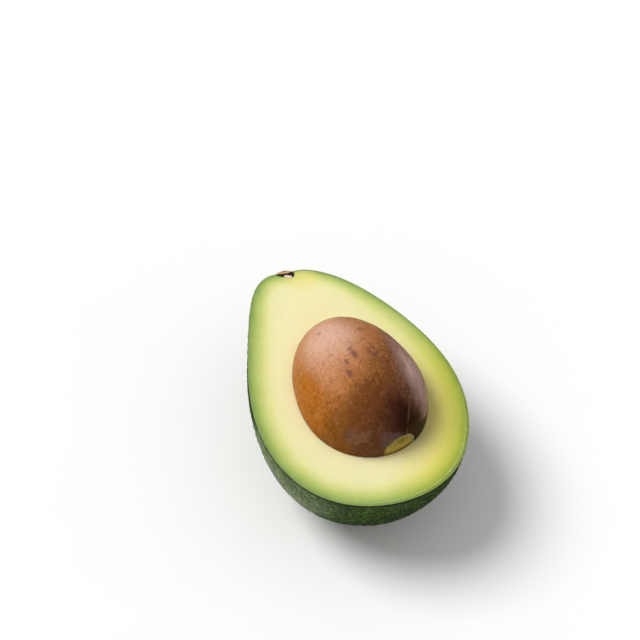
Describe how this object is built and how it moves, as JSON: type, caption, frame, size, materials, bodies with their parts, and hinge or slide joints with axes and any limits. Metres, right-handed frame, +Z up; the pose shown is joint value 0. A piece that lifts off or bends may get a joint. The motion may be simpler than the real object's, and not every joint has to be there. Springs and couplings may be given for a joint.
{
  "type": "halved avocado",
  "caption": "Lengthwise half of a pear-shaped avocado lying on its pebbled green skin, pale flesh up, with its brown egg-shaped seed half sunk in the hollow.",
  "frame": {"origin": "middle of the small flat spot on the peel that the half rests on, on the surface that it lies on", "axes": "+Z up, out of the cut face; +Y along the fruit towards the stem end; +X to the right, seen from above with the stem end away"},
  "size_m": [0.0715, 0.1011, 0.0587],
  "materials": {
    "peel": "satin",
    "flesh": "satin",
    "seed": "satin",
    "stem": "matte"
  },
  "bodies": {
    "root": {"peel": "peel", "flesh": "flesh", "seed": "seed", "stem_button": "stem"}
  },
  "joints": []
}
